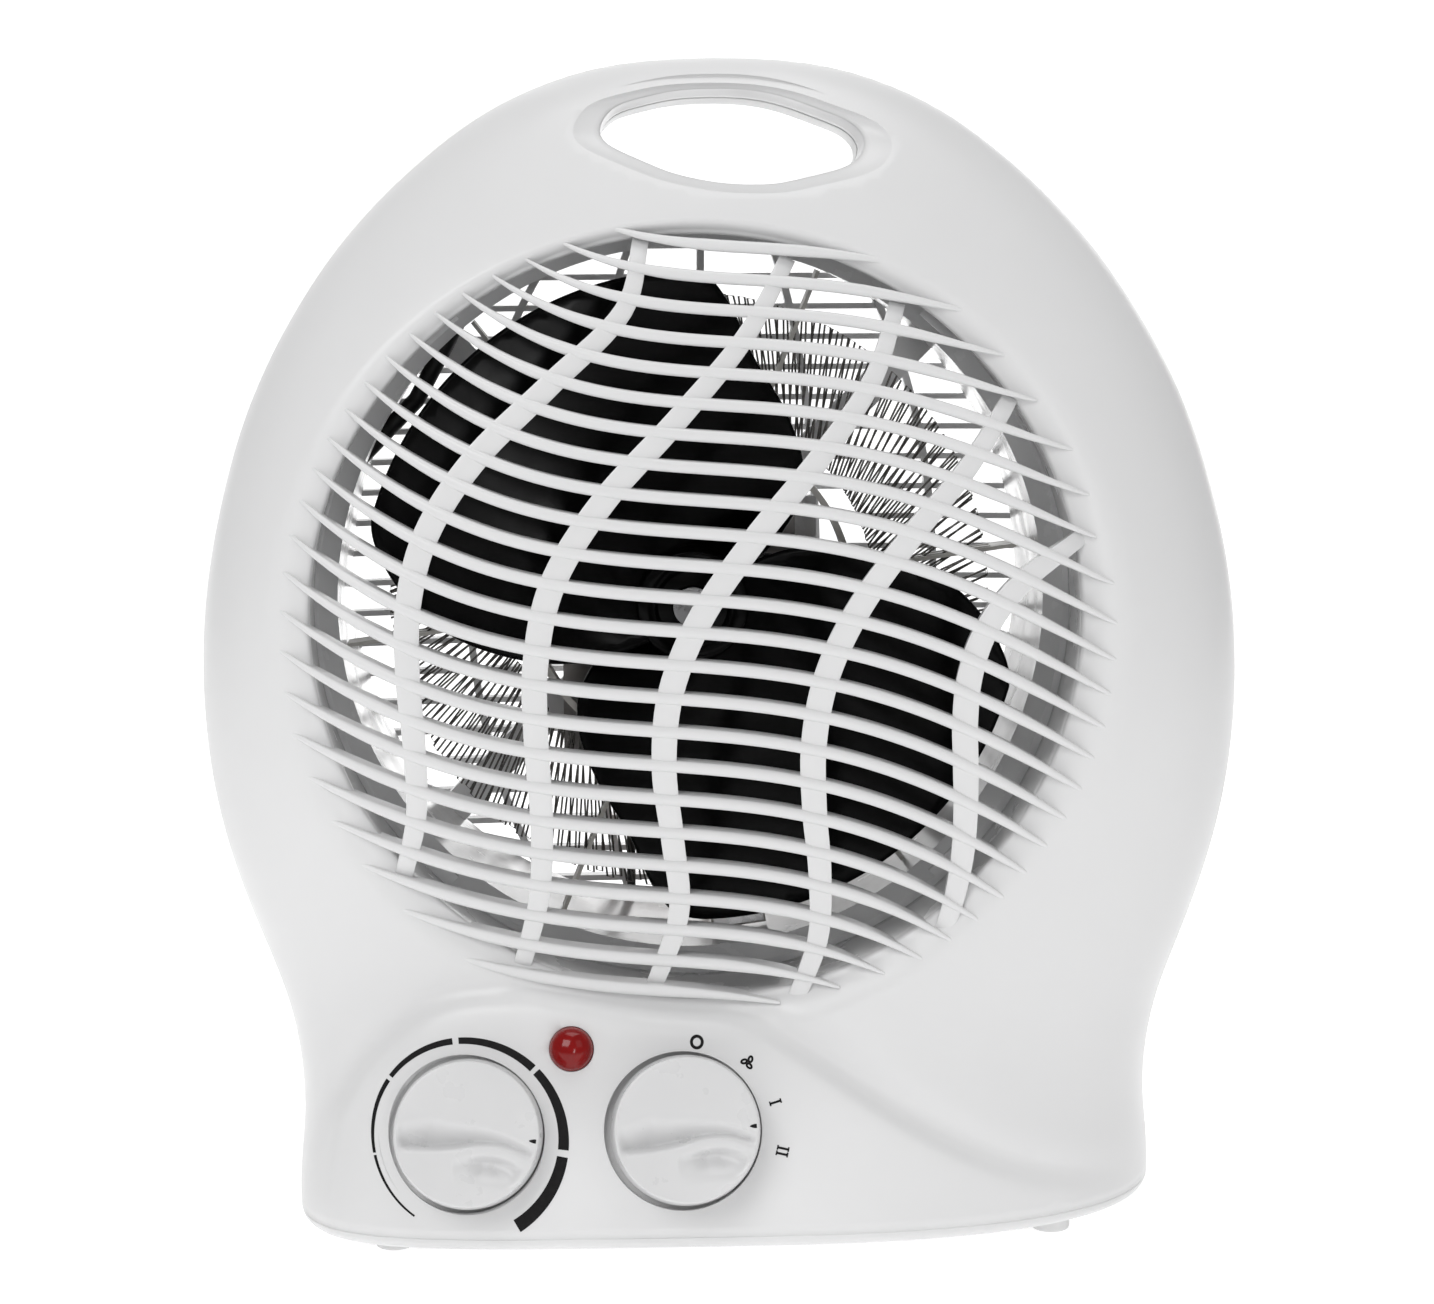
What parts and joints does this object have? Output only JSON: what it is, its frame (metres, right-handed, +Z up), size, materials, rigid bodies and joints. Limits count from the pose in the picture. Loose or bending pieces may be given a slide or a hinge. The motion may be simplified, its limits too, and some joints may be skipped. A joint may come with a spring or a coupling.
{
  "type": "fan heater",
  "caption": "Upright oval fan heater in white plastic with a wavy louvred outlet, a carrying slot, two turning control knobs and a neon lamp.",
  "frame": {"origin": "bottom centre of the bounding box, on the plane the rubber feet stand on", "axes": "+Z up, -Y is the front with the outlet and the knobs, +X to the right seen from the front"},
  "size_m": [0.225, 0.1252, 0.2488],
  "materials": {
    "shell": "white moulded plastic, soft gloss",
    "duct": "light grey moulded plastic",
    "mica": "dull mica sheet",
    "nichrome": "dark resistance wire",
    "brass": "plain brass",
    "steel": "zinc plated",
    "laminations": "stacked electrical steel",
    "bobbin": "off-white nylon",
    "copper": "enamelled copper wire",
    "bronze": "sintered bronze",
    "black_plastic": "black moulded plastic, soft gloss",
    "red_lens": "clear red plastic",
    "lamp_glass": "small glass neon lamp",
    "rubber": "light rubber",
    "sleeving": "black sleeving",
    "knob": "white moulded plastic"
  },
  "bodies": {
    "housing": {"front_cover": "shell", "rear_cover": "shell", "fan_duct": "duct", "mica_boards": "mica", "heater_winding_front": "nichrome", "heater_winding_rear": "nichrome", "element_terminals": "brass", "thermal_cutout": "steel", "thermal_fuse": "steel", "motor_stator": "laminations", "coil_bobbin": "bobbin", "motor_coil": "copper", "motor_bracket_front": "steel", "motor_bracket_rear": "steel", "motor_bearing_front": "bronze", "motor_bearing_rear": "bronze", "motor_screws": "steel", "rotary_switch_body": "black_plastic", "thermostat_body": "bobbin", "control_screws": "steel", "neon_lens": "red_lens", "neon_lamp": "lamp_glass", "feet": "rubber", "cover_screws": "steel", "duct_screws": "steel", "cord_bush": "rubber", "terminal_block": "bobbin", "terminal_screws": "brass", "internal_leads": "sleeving", "sleeved_lead": "sleeving"},
    "fan_rotor": {"fan_blade": "black_plastic", "motor_shaft": "steel", "motor_rotor": "laminations", "fan_clip": "steel"},
    "thermostat_dial": {"thermostat_knob": "knob", "thermostat_spindle": "steel"},
    "switch_dial": {"switch_knob": "knob", "switch_spindle": "steel"}
  },
  "joints": [
    {"name": "fan_spin", "type": "hinge", "parent": "housing", "child": "fan_rotor", "pos_m": [-0.00654, 0.00994, 0.133], "axis": [0, -1, 0], "continuous": true},
    {"name": "thermostat_turn", "type": "hinge", "parent": "housing", "child": "thermostat_dial", "pos_m": [-0.05494, -0.04506, 0.0261], "axis": [0, -0.9659, 0.2588], "range_deg": [-60, 237]},
    {"name": "switch_turn", "type": "hinge", "parent": "housing", "child": "switch_dial", "pos_m": [-0.00974, -0.04646, 0.0266], "axis": [0, -0.9659, 0.2588], "range_deg": [-15, 85]}
  ]
}
